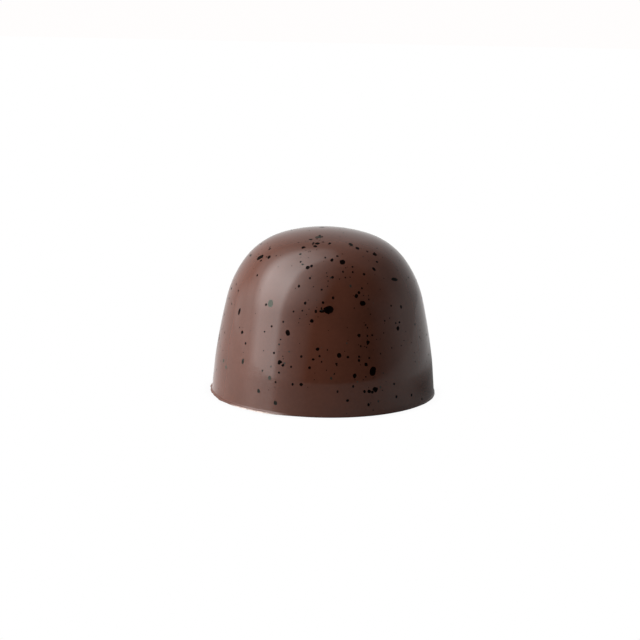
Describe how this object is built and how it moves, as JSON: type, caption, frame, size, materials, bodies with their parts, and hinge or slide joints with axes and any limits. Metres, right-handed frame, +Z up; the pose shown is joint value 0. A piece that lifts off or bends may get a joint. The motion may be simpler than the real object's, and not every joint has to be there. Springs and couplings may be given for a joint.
{
  "type": "chocolate praline",
  "caption": "Small moulded chocolate dome with a rounded top, steep glossy sides speckled with dark flecks, and a flat underside it stands on.",
  "frame": {"origin": "centre of the flat underside, on the surface that the praline stands on", "axes": "+Z up through the top of the dome, -Y towards the front, +X to the right; the scraped lip round the foot is on the -X side"},
  "size_m": [0.0282, 0.028, 0.0206],
  "materials": {
    "chocolate": "glossy milk-brown chocolate shell with flush black flecks of coloured cocoa butter; gloss_plastic stands in for tempered chocolate"
  },
  "bodies": {
    "root": {"praline": "chocolate"}
  },
  "joints": []
}
